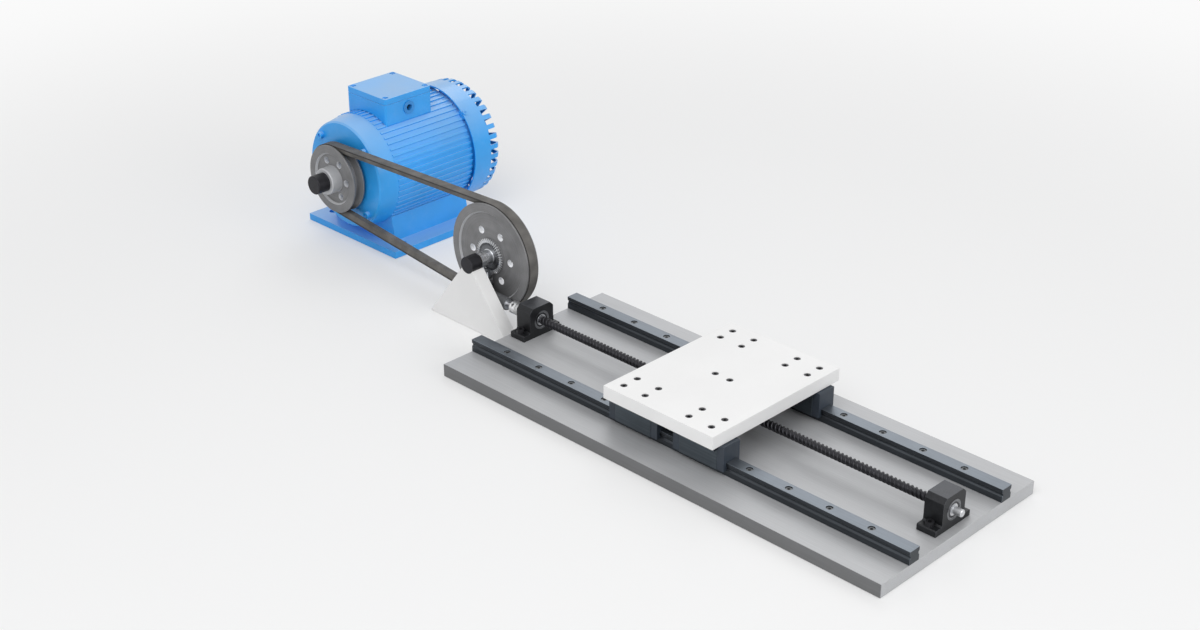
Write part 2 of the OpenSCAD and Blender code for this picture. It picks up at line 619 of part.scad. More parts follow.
module fan_cowl() color([0.14, 0.52, 0.9]) at_motor() difference() {
    translate([0, cowl_y0, 0]) turn_y([[0, cowl_length - cowl_wall],
        [cowl_r - 6, cowl_length - cowl_wall], [cowl_r - cowl_wall - 1.5, cowl_length - 5],
        [cowl_r - cowl_wall, 0], [cowl_r, 0], [cowl_r - 1.5, cowl_length - 4.5],
        [cowl_r - 5, cowl_length], [0, cowl_length]]);
    slot_ring(58, cowl_r + 5, cowl_y1 - 16, 17);
    slot_ring(28, 53, cowl_y1 - cowl_wall - 1, cowl_wall + 2);
    cover_screw_places() translate([0, 0, -9]) cylinder(r = 2 + gap, h = 20);
}
module box_body(x, y, z0, z1, r) translate([motor_x, box_mid, 0]) linear_extrude(z1) {
    difference() {
        union() {
            square([2 * x - 2 * r, 2 * y], center = true);
            square([2 * x, 2 * y - 2 * r], center = true);
            for (i = [-1, 1], j = [-1, 1]) translate([i * (x - r), j * (y - r)]) circle(r = r);
        }
    }
}
module terminal_box() color([0.12, 0.5, 0.88]) difference() {
    intersection() {
        box_body(box_width / 2, box_length / 2, 0, box_top - lid_height, 3);
        translate([motor_x, box_mid, motor_height + 50 + box_top / 2])
            cube([box_width + 2, box_length + 2, box_top], center = true);
    }
    at_motor() rod_y(fin_radius + seat, frame_y0 - 10, frame_y1 + 10);
    difference() {
        translate([motor_x, box_mid, box_top - 20]) cube([box_width - 2 * box_wall,
            box_length - 2 * box_wall, 50], center = true);
        at_motor() rod_y(fin_radius + box_wall, frame_y0 - 10, frame_y1 + 10);
        lid_screw_places() cylinder(r = 5, h = 80, center = true);
    }
    lid_screw_places() translate([0, 0, -15]) cylinder(r = 2 + seat, h = 20);
    translate([motor_x, box_mid, entry_z]) rod_x(entry_r + seat, 0, box_width);
}
module terminal_box_lid() color([0.14, 0.52, 0.9]) difference() {
    intersection() {
        box_body(box_width / 2, box_length / 2, 0, box_top, 3);
        translate([motor_x, box_mid, box_top - lid_height / 2])
            cube([box_width + 2, box_length + 2, lid_height], center = true);
    }
    difference() {
        translate([motor_x, box_mid, box_top - lid_height]) cube([box_width - 2 * box_wall,
            box_length - 2 * box_wall, 2 * (lid_height - box_wall)], center = true);
        lid_screw_places() cylinder(r = 5, h = 80, center = true);
    }
    lid_screw_places() {
        cylinder(r = 3.4 + gap, h = 9);
        translate([0, 0, -15]) cylinder(r = 2 + gap, h = 20);
    }
}
board_z = motor_height + fin_radius + box_wall;
module terminal_board() color([0.3, 0.16, 0.08]) difference() {
    translate([motor_x, box_mid, 0]) span([-24, 24], [-15, 15], [board_z, board_z + 5]);
    stud_places() translate([0, 0, -1]) cylinder(r = 2 + seat, h = 9);
}
module stud_places() for (x = [-1, 0, 1], y = [-1, 1])
    translate([motor_x + x * 16, box_mid + y * 8, board_z]) children();
module terminal_studs() color([0.8, 0.62, 0.25]) stud_places() {
    translate([0, 0, 1]) cylinder(r = 2, h = 12);
    translate([0, 0, 5]) difference() {
        cylinder(r = 3.6, h = 3, $fn = 6);
        translate([0, 0, -1]) cylinder(r = 1.9, h = 5);
    }
}
module cable_grommet() color([0.05, 0.07, 0.12]) translate([motor_x, box_mid, entry_z]) difference() {
    union() {
        rod_x(entry_r, box_width / 2 - box_wall, box_width / 2);
        rod_x(entry_r + 2, box_width / 2, box_width / 2 + 1.5);
        rod_x(entry_r + 1, box_width / 2 - box_wall - 1.5, box_width / 2 - box_wall);
    }
    rod_x(entry_r - 2.5, 0, box_width);
}
module stator_core() color([0.5, 0.51, 0.53]) at_motor() difference() {
    rod_y(bore_r - seat, core_y[0], core_y[1]);
    rod_y(air_r + 0.5, core_y[0] - 1, core_y[1] + 1);
}
winding_r = [air_r + 2.5, bore_r - 5];
winding_long = 15;
module stator_windings() color([0.72, 0.38, 0.16]) at_motor()
    for (y = [core_y[0] - winding_long, core_y[1]]) translate([0, y, 0]) turn_y([
        [winding_r[0] + 2, 0], [winding_r[1] - 2, 0], [winding_r[1], 3],
        [winding_r[1], winding_long], [winding_r[0], winding_long], [winding_r[0], 3]]);
module motor_bearings() color([0.78, 0.79, 0.8]) at_motor()
    for (y = [front_bearing_y, rear_bearing_y]) translate([0, y, 0]) rotate([-90, 0, 0])
        bearing(motor_bearing_r, motor_journal_r + run, motor_bearing_w);
module motor_shaft() color([0.07, 0.07, 0.08]) at_motor() difference() {
    turn_y([[0, shield_y0 - shaft_end], [motor_shaft_dia / 2 - 1, shield_y0 - shaft_end],
        [motor_shaft_dia / 2, shield_y0 - shaft_end + 1], [motor_shaft_dia / 2, shield_y0 + 1],
        [motor_journal_r, shield_y0 + 2], [motor_journal_r, frame_y0 - 2], [core_shaft_r, frame_y0],
        [core_shaft_r, frame_y1 - 14], [motor_journal_r, frame_y1 - 12],
        [motor_journal_r, frame_y1 + 5], [9, frame_y1 + 6], [9, cowl_y1 - 13], [0, cowl_y1 - 13]]);
    motor_key_slot(seat);
}
module rotor_core() color([0.55, 0.56, 0.58]) at_motor() difference() {
    union() {
        rod_y(air_r, core_y[0], core_y[1]);
        rod_y(air_r - 3, core_y[0] - 5, core_y[1] + 5);
    }
    rod_y(core_shaft_r + seat, frame_y0, frame_y1);
}
fan_y0 = frame_y1 + 13;
fan_y1 = cowl_y1 - 15;
fan_hub_r = core_shaft_r - 1;
fan_disc_r = 0.6 * cowl_r;
fan_blade = 2.5;
module cooling_fan() color([0.1, 0.1, 0.11]) at_motor() difference() {
    union() {
        rod_y(fan_hub_r, fan_y0, fan_y1);
        rod_y(fan_disc_r, fan_y0, fan_y0 + 2);
        for (i = [0 : 7]) rotate([0, i * 45, 0])
            span([fan_hub_r - 4, cowl_r - 18], [fan_y0, fan_y1], [-fan_blade / 2, fan_blade / 2]);
    }
    rod_y(9 + seat, fan_y0 - 1, fan_y1 + 1);
}

// ---- lead screw ----
screw_x1 = right_end;
module lead_screw() color([0.13, 0.13, 0.14]) at_screw() turn_x([
    [0, coupling_x1 - coupling_length / 2 + 1], [journal_r, coupling_x1 - coupling_length / 2 + 1],
    [journal_r, fixed_x1 + gap], [screw_dia / 2, fixed_x1 + gap],
    [screw_dia / 2, floating_x1 - bearing_w - gap], [journal_r, floating_x1 - bearing_w - gap],
    [journal_r, screw_x1 - 0.7], [journal_r - 0.7, screw_x1], [0, screw_x1]]);
lock_x = fixed_x1 - 2 * bearing_w - gap;
module lock_nut() color([0.2, 0.2, 0.21]) at_screw() difference() {
    rod_x(lock_r, lock_x - lock_w, lock_x);
    rod_x(journal_r + seat, fixed_x0 - 1, fixed_x1);
    for (a = [0 : 90 : 270]) rotate([a, 0, 0]) translate([lock_x - lock_w / 2, 0, lock_r])
        cube([2 * lock_w, 3, 3], center = true);
}
module output_shaft() color([0.7, 0.71, 0.72]) at_screw()
    rod_x(upright_r, cross_x + mitre_r * mitre_face, coupling_x1 - coupling_length / 2 - 1);
module output_mitre_gear() color([0.62, 0.63, 0.65]) at_screw() difference() {
    union() {
        translate([cross_x + mitre_r, 0, 0]) rotate([0, -90, 0])
            bevel(pinion_teeth, lower_module, mitre_r, mitre_face, 180 / pinion_teeth);
        rod_x(mitre_r - 1.5, cross_x + mitre_r, output_seat_x - gap);
    }
    rod_x(upright_r + seat, cross_x - 20, output_seat_x);
}
clamp_x = [coupling_x0 + 4, coupling_x1 - 4];
clamp_r = 0.8;
module shaft_coupling() color([0.86, 0.87, 0.88]) at_screw() difference() {
    rod_x(coupling_r, coupling_x0, coupling_x1);
    rod_x(upright_r + seat, coupling_x0 - 1, coupling_x0 + coupling_length / 2);
    rod_x(journal_r + seat, coupling_x0 + coupling_length / 2 - 0.5, coupling_x1 + 1);
    for (i = [0 : 3]) rotate([i * 90, 0, 0])
        translate([coupling_x0 + 8.5 + i * 2, -coupling_r - 1, -coupling_r * 0.3])
            cube([0.8, 2 * coupling_r + 2, 2 * coupling_r]);
    for (x = [coupling_x0 - 1, coupling_x1 - 7]) translate([x, -0.4, 0]) cube([8, 0.8, coupling_r]);
    clamp_places() {
        translate([0, 0, -9]) cylinder(r = clamp_r + seat, h = 9);
        translate([0, 0, -2]) cylinder(r = 1.75 * clamp_r + 0.15, h = 9);
    }
}
module clamp_places() for (x = clamp_x) translate([x, -3.6, coupling_r - 2.2]) rotate([90, 0, 0])
    children();
module coupling_screws() color([0.12, 0.12, 0.13]) at_screw() clamp_places()
    translate([0, 0, -2]) cap_screw(clamp_r, 5);

// ---- carriage ----
block_places = [-block_pitch / 2, block_pitch / 2];
block_hole = [15, 10];
plate_head_deep = 2 * thread_r[0] + 0.6;
module block_screw_places() for (x = block_places, side = [-1, 1], i = [-1, 1], j = [-1, 1])
    translate([carriage_x + x + i * block_hole[0], side * rail_y + j * block_hole[1],
        plate_z + plate_thick - plate_head_deep]) children();
module bracket_screw_places() for (i = [-1, 1])
    translate([carriage_x + i * 10, 0, plate_z + plate_thick - plate_head_deep]) children();
module carriage_plate() color([0.93, 0.93, 0.93]) difference() {
    translate([carriage_x, 0, plate_z + plate_thick / 2])
        cube([plate_length, plate_width, plate_thick], center = true);
    block_screw_places() plate_hole();
    bracket_screw_places() plate_hole();
}
module plate_hole() {
    cylinder(r = 1.75 * thread_r[0] + gap, h = plate_head_deep + 1);
    translate([0, 0, -plate_thick]) cylinder(r = thread_r[0] + gap, h = plate_thick + 1);
}
block_grip = plate_thick - plate_head_deep + 7;
module block_section(width) difference() {
    translate([-width / 2, rail_height - 9.5]) square([width, plate_gap + 9.5]);
    polygon(rail_outline(gap, -1, rail_height + gap));
}
module rail_block(x, side) color([0.17, 0.19, 0.22]) difference() {
    translate([carriage_x + x - block_length / 2, side * rail_y, base_thick]) rotate([90, 0, 90])
        linear_extrude(block_length) {
            block_section(block_width);
            translate([-flange_width / 2, rail_height + plate_gap - 7]) square([flange_width, 7]);
        }
    block_screw_places() rod_z(thread_r[0] + seat, -block_grip - 1, 0);
}
module block_front_left() rail_block(block_places[0], -1);
module block_front_right() rail_block(block_places[1], -1);
module block_rear_left() rail_block(block_places[0], 1);
module block_rear_right() rail_block(block_places[1], 1);
module block_end_caps() color([0.1, 0.12, 0.15]) for (x = block_places, side = [-1, 1],
    x0 = [-block_length / 2 - cap_length, block_length / 2])
    translate([carriage_x + x + x0, side * rail_y, base_thick]) rotate([90, 0, 90])
        linear_extrude(cap_length) difference() {
            translate([-block_width / 2 + 0.5, rail_height - 9]) square([block_width - 1,
                plate_gap + 8.5]);
            polygon(rail_outline(gap, -1, rail_height + gap));
        }
module block_screws() color([0.1, 0.1, 0.11]) block_screw_places()
    cap_screw(thread_r[0], block_grip);

nut_r = 9.5;
nut_flange_r = 13.5;
bracket_length = 38;
bracket_half = 18;
nut_flange = 5;
nut_hole_r = 11.4;
module nut_screw_places() for (a = [45 : 90 : 315])
    translate([carriage_x + bracket_length / 2 + nut_flange, 0, screw_z]) rotate([a, 0, 0])
        translate([0, nut_hole_r, 0]) rotate([0, 90, 0]) children();
module nut_bracket() color([0.6, 0.61, 0.63]) difference() {
    translate([carriage_x, 0, 0]) span([-bracket_length / 2, bracket_length / 2],
        [-bracket_half, bracket_half], [base_thick + 3, plate_z]);
    at_screw() rod_x(nut_r + seat, carriage_x - bracket_length, carriage_x + bracket_length);
    bracket_screw_places() rod_z(thread_r[0] + seat, -plate_thick - 1, 0);
    nut_screw_places() translate([0, 0, -nut_flange - 8]) cylinder(r = 1 + seat, h = 14);
}
module screw_nut() color([0.42, 0.43, 0.45]) difference() {
    at_screw() {
        rod_x(nut_r, carriage_x - bracket_length / 2 - 6, carriage_x + bracket_length / 2);
        rod_x(nut_flange_r, carriage_x + bracket_length / 2,
            carriage_x + bracket_length / 2 + nut_flange);
    }
    at_screw() rod_x(screw_dia / 2 + run, carriage_x - bracket_length, carriage_x + bracket_length);
    nut_screw_places() translate([0, 0, -nut_flange - 1]) cylinder(r = 1 + seat, h = 14);
}
module nut_screws() color([0.12, 0.12, 0.13]) nut_screw_places() cap_screw(1, nut_flange + 6);
module bracket_screws() color([0.1, 0.1, 0.11]) bracket_screw_places()
    cap_screw(thread_r[0], plate_thick - plate_head_deep + 5);

base_plate();
rail_front();
rail_rear();
rail_screws();
fixed_support();
floating_support();
support_bearings();
support_screws();
bearing_stand();
stand_sleeve();
stand_bush();
gear_housing();
gear_housing_cap();
housing_screws();
gearbox_bearings();
motor_frame();
front_shield();
rear_shield();
shield_screws();
fan_cowl();
cover_screws();
terminal_box();
terminal_box_lid();
terminal_board();
terminal_studs();
cable_grommet();
stator_core();
stator_windings();
motor_bearings();
drive_belt();
motor_shaft();
rotor_core();
cooling_fan();
motor_pulley();
motor_key();
cross_shaft();
driven_pulley();
pulley_key();
bevel_gear();
pulley_retainer();
upright_shaft();
upright_pinion();
upright_mitre_gear();
lead_screw();
output_shaft();
output_mitre_gear();
shaft_coupling();
coupling_screws();
lock_nut();
carriage_plate();
block_front_left();
block_front_right();
block_rear_left();
block_rear_right();
block_end_caps();
block_screws();
nut_bracket();
screw_nut();
nut_screws();
bracket_screws();
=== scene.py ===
import bpy
import bmesh
import json
import math
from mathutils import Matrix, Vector


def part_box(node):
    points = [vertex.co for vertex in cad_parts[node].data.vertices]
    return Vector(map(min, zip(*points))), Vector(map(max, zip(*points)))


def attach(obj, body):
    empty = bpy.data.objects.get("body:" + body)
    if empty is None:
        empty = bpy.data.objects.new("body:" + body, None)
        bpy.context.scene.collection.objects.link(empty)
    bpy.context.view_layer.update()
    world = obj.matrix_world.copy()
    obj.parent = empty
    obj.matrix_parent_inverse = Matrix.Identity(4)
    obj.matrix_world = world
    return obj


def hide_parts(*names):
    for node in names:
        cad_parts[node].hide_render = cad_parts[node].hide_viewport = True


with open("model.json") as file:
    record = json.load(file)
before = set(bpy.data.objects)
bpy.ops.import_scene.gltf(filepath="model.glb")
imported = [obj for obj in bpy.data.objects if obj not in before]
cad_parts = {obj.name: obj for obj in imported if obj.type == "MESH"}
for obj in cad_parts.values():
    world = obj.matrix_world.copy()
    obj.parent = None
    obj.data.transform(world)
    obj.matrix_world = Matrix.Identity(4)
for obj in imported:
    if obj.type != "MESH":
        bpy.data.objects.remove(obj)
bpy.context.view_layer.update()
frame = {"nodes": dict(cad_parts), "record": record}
nodes = frame["nodes"]
bodyOf = {n: b for b, members in frame["record"]["behaviour"]["bodies"].items() for n in members}
print("frame loaded:", len(nodes), "nodes")

# camera and lamps come first, the camera where a person beside the bench would stand
cameraSetup = {
    "place": (1.1173, -1.3186, 1.0139), "aim": (-0.215, 0.035, 0.048),
    "lens": 57.0, "sensor": 36.0, "reach": 50.0,
}
lampAim = (-0.2, 0.0, 0.05)
lampSetup = {
    "key": {"place": (0.5, -1.5, 2.3), "size": 2.2, "watts": 30},
    "right": {"place": (2.6, 0.3, 1.3), "size": 1.8, "watts": 20},
    "back": {"place": (-1.6, 2.2, 2.2), "size": 2.0, "watts": 14},
}


def aimAt(obj, target):
    obj.rotation_euler = (Vector(target) - obj.location).to_track_quat("-Z", "Y").to_euler()


def newObject(name, data):
    obj = bpy.data.objects.new(name, data)
    bpy.context.scene.collection.objects.link(obj)
    return obj


def addCamera():
    data = bpy.data.cameras.new("benchCamera")
    data.lens = cameraSetup["lens"]
    data.sensor_width = cameraSetup["sensor"]
    data.clip_end = cameraSetup["reach"]
    camera = newObject("benchCamera", data)
    camera.location = cameraSetup["place"]
    aimAt(camera, cameraSetup["aim"])
    bpy.context.scene.camera = camera


def addLamps():
    for name, lamp in lampSetup.items():
        data = bpy.data.lights.new(name + "Lamp", "AREA")
        data.shape = "DISK"
        data.size = lamp["size"]
        data.energy = lamp["watts"]
        obj = newObject(name + "Lamp", data)
        obj.location = lamp["place"]
        aimAt(obj, lampAim)


addCamera()
addLamps()
print("camera and lamps placed:", len(lampSetup), "lamps")


# node helpers: each adds one node, or a few, to a finish
def put(tree, kind, inputs=None, **settings):
    made = tree.nodes.new("ShaderNode" + kind)
    for key, value in settings.items():
        setattr(made, key, value)
    for key, value in (inputs or {}).items():
        socket = made.inputs[key]
        if isinstance(value, bpy.types.NodeSocket):
            tree.links.new(value, socket)
        else:
            socket.default_value = value
    return made


def newFinish(name):
    material = bpy.data.materials.new(name)
    material.use_nodes = True
    tree = material.node_tree
    return material, tree, tree.nodes["Principled BSDF"]


def objectSpot(tree, stretch=(1, 1, 1), centre=(0, 0, 0)):
    coords = put(tree, "TexCoord").outputs["Object"]
    moved = put(tree, "Mapping", {"Vector": coords, "Location": tuple(-c for c in centre)}).outputs[0]
    return put(tree, "Mapping", {"Vector": moved, "Scale": stretch}).outputs[0]


def alongAxis(tree, vector, axis):
    return put(tree, "SeparateXYZ", {0: vector}).outputs[axis]


def facing(tree, axis):
    return alongAxis(tree, put(tree, "NewGeometry").outputs["Normal"], axis)


def noise(tree, vector, scale, detail=3.0, rough=0.5):
    made = put(tree, "TexNoise", {"Vector": vector, "Scale": scale, "Detail": detail, "Roughness": rough})
    return made.outputs["Fac"]


def ramp(tree, value, low, high, start=0.0, end=1.0):
    spans = {"From Min": low, "From Max": high, "To Min": start, "To Max": end}
    return put(tree, "MapRange", {"Value": value, **spans}).outputs["Result"]


def blendColour(tree, amount, first, second):
    return put(tree, "Mix", {0: amount, 6: first, 7: second}, data_type="RGBA").outputs[2]


def figure(tree, operation, first, second=0.0):
    return put(tree, "Math", {0: first, 1: second}, operation=operation).outputs[0]


def edgeWear(tree, radius, reach):
    # how far the rounded normal leans from the flat one: 0 on faces, 1 on edges
    rounded = put(tree, "Bevel", {"Radius": radius}, samples=4).outputs[0]
    flat = put(tree, "NewGeometry").outputs["Normal"]
    lean = put(tree, "VectorMath", {0: rounded, 1: flat}, operation="DOT_PRODUCT")
    return ramp(tree, lean.outputs["Value"], 1.0, 1.0 - reach)


def finishBump(tree, shader, height, strength, distance):
    bump = put(tree, "Bump", {"Height": height, "Strength": strength, "Distance": distance})
    tree.links.new(bump.outputs[0], shader.inputs["Normal"])


# what every finish shares: its own colour deeper and paler in patches, chipped edges, uneven gloss
cloudDetail = 4.0


def shadeOf(colour, factor):
    return (*(min(1.0, c * factor) for c in colour), 1.0)


def mottled(tree, amount, look):
    deep, pale = (shadeOf(look["colour"], look[tone]) for tone in ("deep", "pale"))
    return blendColour(tree, amount, deep, pale)


def chipped(tree, amount, colour, look):
    return blendColour(tree, amount, colour, shadeOf(look["colour"], look["chip"]))


def dress(tree, shader, colour, gloss, span, look):
    tree.links.new(colour, shader.inputs["Base Color"])
    tree.links.new(ramp(tree, gloss, *span, *look["rough"]), shader.inputs["Roughness"])


paintKind = {
    "cloud": (0.3, 0.7), "gloss": (0.25, 0.75), "peelDetail": 2.0, "coatRough": 0.18, "depth": 0.0004,
    "dustFiner": 4, "dustGrain": (6.0, 0.65), "dustSpan": (0.55, 0.8), "dustColour": (0.62, 0.6, 0.57, 1.0),
    "paintedSheenFacing": (0.25, 0.9), "paintedSheenPatch": (0.25, 0.75, 1.0, 0.75), "paintedSheenColour": (0.64, 0.77, 0.86, 1.0),
    "flakes": 420.0, "flakeSpan": (0.42, 0.62), "edge": (0.0007, 0.25),
}


def paintFinish(name, look):
    # sprayed paint or a painted casting: dust, chipped edges and a slight peel, and on some a painted sheen
    # on upward faces
    material, tree, shader = newFinish(name)
    kind = paintKind
    spot = objectSpot(tree)
    patch = noise(tree, spot, look["patch"], cloudDetail)
    colour = mottled(tree, ramp(tree, patch, *kind["cloud"]), look)
    fine = noise(tree, spot, look["patch"] * kind["dustFiner"], *kind["dustGrain"])
    dust = ramp(tree, fine, *kind["dustSpan"], 0.0, look["dust"])
    colour = blendColour(tree, dust, colour, kind["dustColour"])
    if "paintedSheen" in look:  # upward faces painted paler: a painted sheen of the light from above
        upward = ramp(tree, facing(tree, 2), *kind["paintedSheenFacing"], 0.0, look["paintedSheen"])
        paintedSheen = figure(tree, "MULTIPLY", upward, ramp(tree, patch, *kind["paintedSheenPatch"]))
        colour = blendColour(tree, paintedSheen, colour, kind["paintedSheenColour"])
    broken = ramp(tree, noise(tree, spot, kind["flakes"]), *kind["flakeSpan"])
    worn = figure(tree, "MULTIPLY", edgeWear(tree, *kind["edge"]), broken)
    colour = chipped(tree, figure(tree, "MULTIPLY", worn, look["wear"]), colour, look)
    dress(tree, shader, colour, patch, kind["gloss"], look)
    shader.inputs["Coat Weight"].default_value = look["coat"]
    shader.inputs["Coat Roughness"].default_value = kind["coatRough"]
    peel = noise(tree, spot, look["peel"], kind["peelDetail"])
    finishBump(tree, shader, peel, look["bump"], kind["depth"])
    return material


metalKind = {"cloud": (0.35, 0.65), "gloss": (0.3, 0.7), "depth": 0.0002}


def metalTone(tree, lines, look, shares):
    # tool marks and slow clouds together set tone and gloss
    cloud = noise(tree, objectSpot(tree), look["patch"], cloudDetail)
    marks, slow = (figure(tree, "MULTIPLY", *pair) for pair in zip((lines, cloud), shares))
    mixed = figure(tree, "ADD", marks, slow)
    return mixed, mottled(tree, ramp(tree, mixed, *metalKind["cloud"]), look)


def brightEdges(tree, colour, look, edge):
    return chipped(tree, figure(tree, "MULTIPLY", edgeWear(tree, *edge), look["wear"]), colour, look)


def dressMetal(tree, shader, colour, mixed, lines, look):
    dress(tree, shader, colour, mixed, metalKind["gloss"], look)
    shader.inputs["Metallic"].default_value = look["metal"]
    finishBump(tree, shader, lines, look["bump"], metalKind["depth"])


brushedKind = {
    "grain": (4.0, 0.6), "shares": (0.6, 0.4), "edge": (0.0005, 0.25), "paintedSideShadeColour": (0.0, 0.0, 0.0, 1.0),
}


def brushedFinish(name, look):
    # ground, milled or blackened faces with fine tool marks
    material, tree, shader = newFinish(name)
    kind = brushedKind
    lines = noise(tree, objectSpot(tree, look["stretch"]), look["lines"], *kind["grain"])
    mixed, colour = metalTone(tree, lines, look, kind["shares"])
    if "paintedSideShade" in look:  # painted shade: the side faces, or all faces below the top face, are painted darker
        axis, middle, clear, dark, shade = look["paintedSideShade"]
        across = figure(tree, "SUBTRACT", alongAxis(tree, objectSpot(tree), axis), middle)
        across = figure(tree, "ABSOLUTE", across)
        paintedSideShade = figure(tree, "MULTIPLY", ramp(tree, across, clear, dark), 1.0 - shade)
        colour = blendColour(tree, paintedSideShade, colour, kind["paintedSideShadeColour"])
    colour = brightEdges(tree, colour, look, kind["edge"])
    dressMetal(tree, shader, colour, mixed, lines, look)
    return material


turnedKind = {
    "grain": (2.0, 0.6), "shares": (0.55, 0.45), "edge": (0.0006, 0.25),
    "endFade": 0.0005, "ringFade": 0.0002, "wallFacing": (0.6, 0.3),
}


def turnedFinish(name, look, centre, axis):
    # fine lathe rings about the piece's own axis
    material, tree, shader = newFinish(name)
    kind = turnedKind
    parts = put(tree, "SeparateXYZ", {0: objectSpot(tree, (1, 1, 1), centre)}).outputs
    squares = [figure(tree, "MULTIPLY", parts[i], parts[i]) for i in range(3) if i != axis]
    radius = figure(tree, "SQRT", figure(tree, "ADD", *squares))
    rings = put(tree, "CombineXYZ", {0: radius, 1: parts[axis]}).outputs[0]
    lines = noise(tree, rings, look["lines"], *kind["grain"])
    mixed, colour = metalTone(tree, lines, look, kind["shares"])
    colour = brightEdges(tree, colour, look, kind["edge"])
    if "ends" in look:  # ground bright outside the threaded length
        first, last = look["ends"]
        left = ramp(tree, parts[axis], first + kind["endFade"], first)
        right = ramp(tree, parts[axis], last - kind["endFade"], last)
        colour = blendColour(tree, figure(tree, "MAXIMUM", left, right), colour, look["endColour"])
    for inner, outer, tone, wallsOnly in look.get("zones", ()):  # rings of another tone: real seals, or painted highlights and painted shade
        inside = ramp(tree, radius, outer, outer - kind["ringFade"])
        ring = figure(tree, "MULTIPLY", ramp(tree, radius, inner, inner + kind["ringFade"]), inside)
        if wallsOnly:  # only the walls of the holes in that ring
            upright = figure(tree, "ABSOLUTE", facing(tree, axis))
            ring = figure(tree, "MULTIPLY", ring, ramp(tree, upright, *kind["wallFacing"]))
        colour = blendColour(tree, ring, colour, (*tone, 1.0))
    dressMetal(tree, shader, colour, mixed, lines, look)
    return material


mouldedKind = {
    "grain": (3.0, 0.6), "cloud": (0.3, 0.7), "gloss": (0.3, 0.7), "bandFade": 0.0004,
    "edge": (0.0006, 0.3), "scuffSpan": (0.4, 0.65), "depth": 0.0003,
}


def mouldedFinish(name, look):
    # plastic, board and belt cloth
    material, tree, shader = newFinish(name)
    kind = mouldedKind
    spot = objectSpot(tree)
    grain = noise(tree, spot, look["grain"], *kind["grain"])
    cloud = noise(tree, spot, look["patch"], cloudDetail)
    colour = mottled(tree, ramp(tree, cloud, *kind["cloud"]), look)
    if "band" in look:  # painted shade: the belt is painted darker on both sides of the middle
        middle, half = look["band"]
        width = figure(tree, "ABSOLUTE", alongAxis(tree, objectSpot(tree, (1, 1, 1), (0, middle, 0)), 1))
        side = ramp(tree, width, half, half + kind["bandFade"])
        colour = blendColour(tree, side, colour, shadeOf(look["colour"], look["bandShade"]))
    rubbed = ramp(tree, grain, *kind["scuffSpan"], 0.0, look["wear"])
    scuff = figure(tree, "MULTIPLY", edgeWear(tree, *kind["edge"]), rubbed)
    colour = chipped(tree, scuff, colour, look)
    dress(tree, shader, colour, grain, kind["gloss"], look)
    finishBump(tree, shader, grain, look["bump"], kind["depth"])
    return material


# the lines that things turn about, and the heights and widths where a finish changes
crossLine = (-0.367, 0.0, 0.080)
motorLine = (-0.658, 0.0, 0.090)
screwLine = (0.0, 0.0, 0.034)
uprightLine = (-0.367, 0, 0)
gearboxSpot = (-0.367, 0, 0.034)
endBearing = 0.007  # room for the bearing at the far face of the floating support
plateLow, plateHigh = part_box("base_plate")
plateMiddle = (plateLow.y + plateHigh.y) / 2
plateReach = plateHigh.y - plateMiddle
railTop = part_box("rail_front")[1].z
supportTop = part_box("fixed_support")[1].z
beltLow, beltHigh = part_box("drive_belt")
beltMiddle = (beltLow.y + beltHigh.y) / 2
threadedSpan = (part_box("fixed_support")[1].x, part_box("floating_support")[1].x - endBearing)


# where the painted shade starts and is full, in from the top or side face, and how bright it is left
sideShadeSetup = {"top": (0.0001, 0.0004), "side": (0.0007, 0.0004), "plate": 0.36, "rail": 0.32, "support": 0.3}


def shadeBelowTop(top, shade):
    clear, dark = sideShadeSetup["top"]
    return (2, 0.0, top - clear, top - dark, shade)


def shadeAtSides(middle, reach, shade):
    clear, dark = sideShadeSetup["side"]
    return (1, middle, reach - clear, reach - dark, shade)



# painted looks
# upward faces of the blue paint are painted paler: a painted sheen of the light from above
motorBlue = {
    "colour": (0.025, 0.36, 0.88), "deep": 0.93, "pale": 1.1, "patch": 16.0, "dust": 0.06, "paintedSheen": 0.36,
    "wear": 0.55, "chip": 1.9, "peel": 520.0, "rough": (0.3, 0.42), "coat": 0.2, "bump": 0.12,
}
blueSheet = dict(motorBlue, peel=260.0, bump=0.04, rough=(0.26, 0.36))
satinWhite = {
    "colour": (0.87, 0.87, 0.87), "deep": 0.96, "pale": 1.03, "patch": 12.0, "dust": 0.05,
    "wear": 0.25, "chip": 0.75, "peel": 700.0, "rough": (0.42, 0.52), "coat": 0.1, "bump": 0.06,
}
gearIron = {
    "colour": (0.12, 0.124, 0.13), "deep": 0.85, "pale": 1.2, "patch": 40.0, "dust": 0.05,
    "wear": 0.5, "chip": 2.6, "peel": 700.0, "rough": (0.45, 0.6), "coat": 0.0, "bump": 0.4,
}

# turned looks
darkTurned = {
    "colour": (0.2, 0.2, 0.205), "deep": 0.8, "pale": 1.25, "lines": 2600.0, "patch": 60.0,
    "wear": 0.7, "chip": 3.2, "metal": 0.75, "rough": (0.34, 0.5), "bump": 0.25,
}
brightTurned = {
    "colour": (0.62, 0.63, 0.65), "deep": 0.92, "pale": 1.08, "lines": 4200.0, "patch": 60.0,
    "wear": 0.3, "chip": 1.2, "metal": 1.0, "rough": (0.24, 0.36), "bump": 0.06,
}
blackTurned = {
    "colour": (0.022, 0.022, 0.026), "deep": 0.8, "pale": 1.4, "lines": 3800.0, "patch": 70.0,
    "wear": 0.5, "chip": 5.0, "metal": 0.6, "rough": (0.32, 0.46), "bump": 0.15,
}
gearTurned = dict(brightTurned, colour=(0.3, 0.31, 0.33), wear=0.6)
pulleyTurned = dict(darkTurned, metal=0.25)
bronzeTurned = dict(brightTurned, colour=(0.5, 0.33, 0.15))
brassTurned = dict(brightTurned, colour=(0.68, 0.46, 0.16))
